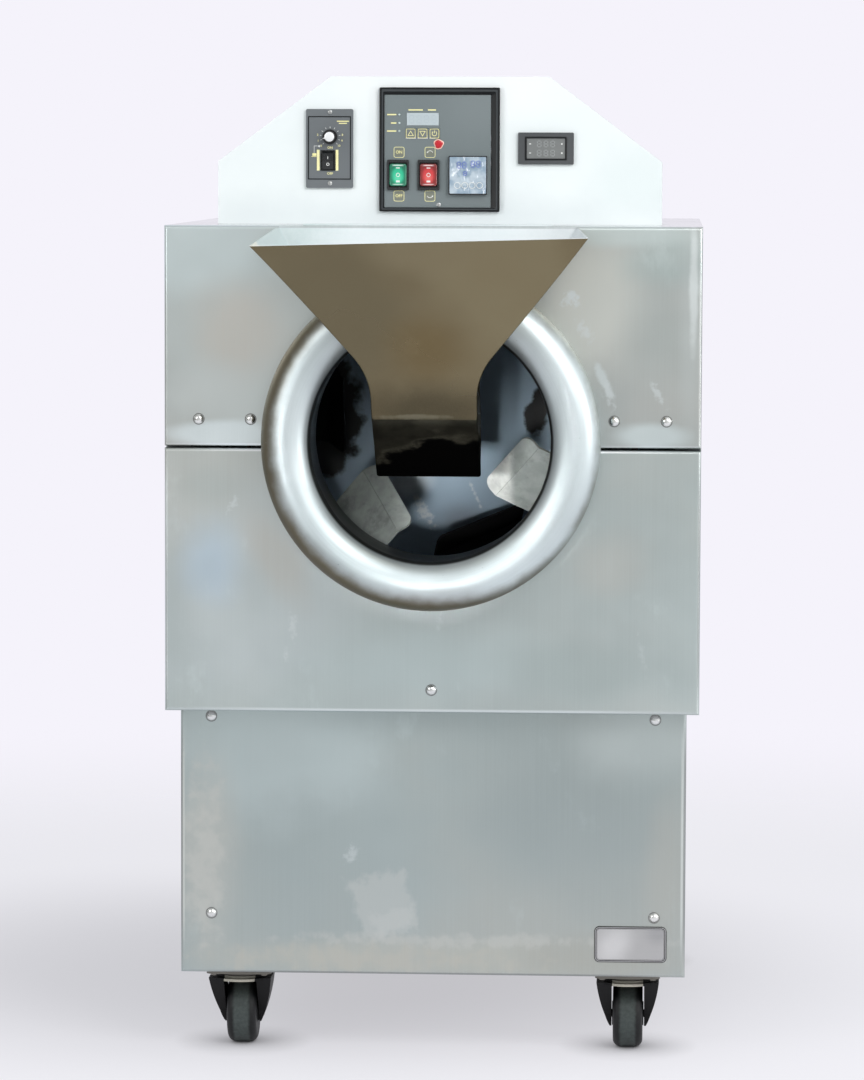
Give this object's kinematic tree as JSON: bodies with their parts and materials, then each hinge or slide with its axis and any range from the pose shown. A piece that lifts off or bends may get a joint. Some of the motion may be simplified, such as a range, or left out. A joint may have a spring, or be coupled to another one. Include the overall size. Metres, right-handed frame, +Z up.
{
  "type": "cocoa bean roaster",
  "caption": "Floor-standing drum roaster on casters: stainless cabinet, rotating drum with a rolled collar, hook-on feed hopper and a white control box on top.",
  "frame": {"origin": "centre of the footprint on the floor", "axes": "+Z up, -Y towards the drum's mouth, +X to the right seen from the front"},
  "size_m": [0.65, 0.98, 1.202],
  "materials": {
    "stainless": "satin rolled stainless sheet with faint vertical grain and handling marks",
    "hopper_steel": "smooth stainless sheet, a little browned",
    "collar_steel": "spun satin stainless",
    "drum_steel": "plain stainless, rubbed by beans",
    "bolt_chrome": "bright domed heads",
    "frame_paint": "grey primer",
    "plate_steel": "mill finish",
    "white_enamel": "semi-gloss white enamel",
    "jacket_wool": "felted ceramic wool",
    "coil_sheath": "silicone sheath",
    "driver_case": "plain aluminium",
    "motor_case": "grey cast case",
    "bearing_iron": "cast iron, painted",
    "machined_steel": "machined and oiled",
    "tray_black": "satin black",
    "plate_grey": "matt slate grey",
    "display_pane": "pale display window",
    "key_grey": "membrane grey with a yellow outline",
    "switch_black": "moulded black",
    "rocker_green": "translucent green",
    "rocker_red": "translucent red",
    "controller_film": "face under a clear film",
    "speed_grey": "fine-grained grey",
    "knob_black": "black skirt with a silver cap",
    "meter_grey": "moulded grey",
    "meter_pane": "unlit light grey screen",
    "gland_nylon": "black nylon",
    "caster_zinc": "zinc plated",
    "fork_black": "gloss black",
    "wheel_rubber": "dark grey rubber"
  },
  "bodies": {
    "cabinet": {"base_floor": "plate_steel", "base_front_panel": "stainless", "base_left_panel": "stainless", "base_rear_panel": "stainless", "base_right_panel": "stainless", "bearing_stand": "frame_paint", "body_deck": "plate_steel", "body_left_panel": "stainless", "body_rear_panel": "stainless", "body_right_panel": "stainless", "body_top_panel": "stainless", "cabinet_frame": "frame_paint", "cable_gland": "gland_nylon", "caster_plates": "caster_zinc", "coil_winding": "coil_sheath", "control_box_rear_cover": "white_enamel", "control_box_shell": "white_enamel", "control_plate": "plate_grey", "display_window": "display_pane", "drive_chain": "machined_steel", "gear_motor": "motor_case", "induction_driver": "driver_case", "insulation_jacket": "jacket_wool", "jacket_saddles": "frame_paint", "lower_front_panel": "stainless", "meter_bezel": "meter_grey", "meter_screen": "meter_pane", "panel_bolts": "bolt_chrome", "panel_tray": "tray_black", "roller_brackets": "frame_paint", "shaft_bearings": "bearing_iron", "speed_case": "speed_grey", "switch_bezels": "switch_black", "temp_controller": "controller_film", "upper_front_panel": "stainless"},
    "drum": {"drum_shell": "drum_steel", "drum_back": "drum_steel", "drum_collar": "collar_steel", "drum_flights": "drum_steel", "drum_shaft": "machined_steel", "drum_sprocket": "machined_steel"},
    "left_support": {"support_roller_left": "machined_steel"},
    "right_support": {"support_roller_right": "machined_steel"},
    "motor_output": {"motor_sprocket": "machined_steel"},
    "feed_hopper": {"hopper": "hopper_steel"},
    "power_switch_cap": {"power_rocker": "rocker_green"},
    "direction_switch_cap": {"direction_rocker": "rocker_red"},
    "speed_switch_cap": {"speed_rocker": "switch_black"},
    "speed_dial_knob": {"speed_knob": "knob_black"},
    "up_key": {"key_up": "key_grey"},
    "down_key": {"key_down": "key_grey"},
    "power_key": {"key_power": "key_grey"},
    "front_left_fork": {"caster_fork_front_left": "fork_black"},
    "front_left_wheel": {"caster_wheel_front_left": "wheel_rubber"},
    "front_right_fork": {"caster_fork_front_right": "fork_black"},
    "front_right_wheel": {"caster_wheel_front_right": "wheel_rubber"},
    "rear_left_fork": {"caster_fork_rear_left": "fork_black"},
    "rear_left_wheel": {"caster_wheel_rear_left": "wheel_rubber"},
    "rear_right_fork": {"caster_fork_rear_right": "fork_black"},
    "rear_right_wheel": {"caster_wheel_rear_right": "wheel_rubber"}
  },
  "joints": [
    {"name": "drum_spin", "type": "hinge", "parent": "cabinet", "child": "drum", "pos_m": [0, 0, 0.762], "axis": [0, 1, 0], "continuous": true},
    {"name": "left_support_spin", "type": "hinge", "parent": "cabinet", "child": "left_support", "pos_m": [-0.11332, -0.221, 0.62695], "axis": [0, 1, 0], "continuous": true},
    {"name": "right_support_spin", "type": "hinge", "parent": "cabinet", "child": "right_support", "pos_m": [0.11332, -0.221, 0.62695], "axis": [0, 1, 0], "continuous": true},
    {"name": "motor_spin", "type": "hinge", "parent": "cabinet", "child": "motor_output", "pos_m": [0.23, 0.431, 0.484], "axis": [0, 1, 0], "continuous": true},
    {"name": "hopper_lift", "type": "slide", "parent": "cabinet", "child": "feed_hopper", "axis": [0, 0, 1], "range_m": [0, 0.02]},
    {"name": "power_switch", "type": "hinge", "parent": "cabinet", "child": "power_switch_cap", "pos_m": [-0.0513, -0.131, 1.0807], "axis": [1, 0, 0], "range_deg": [-10, 10]},
    {"name": "direction_switch", "type": "hinge", "parent": "cabinet", "child": "direction_switch_cap", "pos_m": [-0.0135, -0.131, 1.0807], "axis": [1, 0, 0], "range_deg": [-10, 10]},
    {"name": "speed_switch", "type": "hinge", "parent": "cabinet", "child": "speed_switch_cap", "pos_m": [-0.1382, -0.132, 1.0983], "axis": [1, 0, 0], "range_deg": [-20, 0]},
    {"name": "speed_dial", "type": "hinge", "parent": "cabinet", "child": "speed_dial_knob", "pos_m": [-0.1357, -0.134, 1.1273], "axis": [0, -1, 0], "range_deg": [-240, 30]},
    {"name": "up_key_press", "type": "slide", "parent": "cabinet", "child": "up_key", "axis": [0, 1, 0], "range_m": [0, 0.0006], "stiffness_N_per_m": 3000},
    {"name": "down_key_press", "type": "slide", "parent": "cabinet", "child": "down_key", "axis": [0, 1, 0], "range_m": [0, 0.0006], "stiffness_N_per_m": 3000},
    {"name": "power_key_press", "type": "slide", "parent": "cabinet", "child": "power_key", "axis": [0, 1, 0], "range_m": [0, 0.0006], "stiffness_N_per_m": 3000},
    {"name": "front_left_swivel", "type": "hinge", "parent": "cabinet", "child": "front_left_fork", "pos_m": [-0.24, -0.195, 0.09], "axis": [0, 0, 1], "continuous": true},
    {"name": "front_left_roll", "type": "hinge", "parent": "front_left_fork", "child": "front_left_wheel", "pos_m": [-0.24, -0.167, 0.041], "axis": [1, 0, 0], "continuous": true},
    {"name": "front_right_swivel", "type": "hinge", "parent": "cabinet", "child": "front_right_fork", "pos_m": [0.24, -0.195, 0.09], "axis": [0, 0, 1], "continuous": true},
    {"name": "front_right_roll", "type": "hinge", "parent": "front_right_fork", "child": "front_right_wheel", "pos_m": [0.24, -0.167, 0.041], "axis": [1, 0, 0], "continuous": true},
    {"name": "rear_left_swivel", "type": "hinge", "parent": "cabinet", "child": "rear_left_fork", "pos_m": [-0.24, 0.415, 0.09], "axis": [0, 0, 1], "continuous": true},
    {"name": "rear_left_roll", "type": "hinge", "parent": "rear_left_fork", "child": "rear_left_wheel", "pos_m": [-0.24, 0.443, 0.041], "axis": [1, 0, 0], "continuous": true},
    {"name": "rear_right_swivel", "type": "hinge", "parent": "cabinet", "child": "rear_right_fork", "pos_m": [0.24, 0.415, 0.09], "axis": [0, 0, 1], "continuous": true},
    {"name": "rear_right_roll", "type": "hinge", "parent": "rear_right_fork", "child": "rear_right_wheel", "pos_m": [0.24, 0.443, 0.041], "axis": [1, 0, 0], "continuous": true}
  ],
  "couplings": [
    {"joint": "left_support_spin", "follows": "drum_spin", "ratio": -6.04},
    {"joint": "right_support_spin", "follows": "drum_spin", "ratio": -6.04},
    {"joint": "motor_spin", "follows": "drum_spin", "ratio": 2.7143}
  ]
}
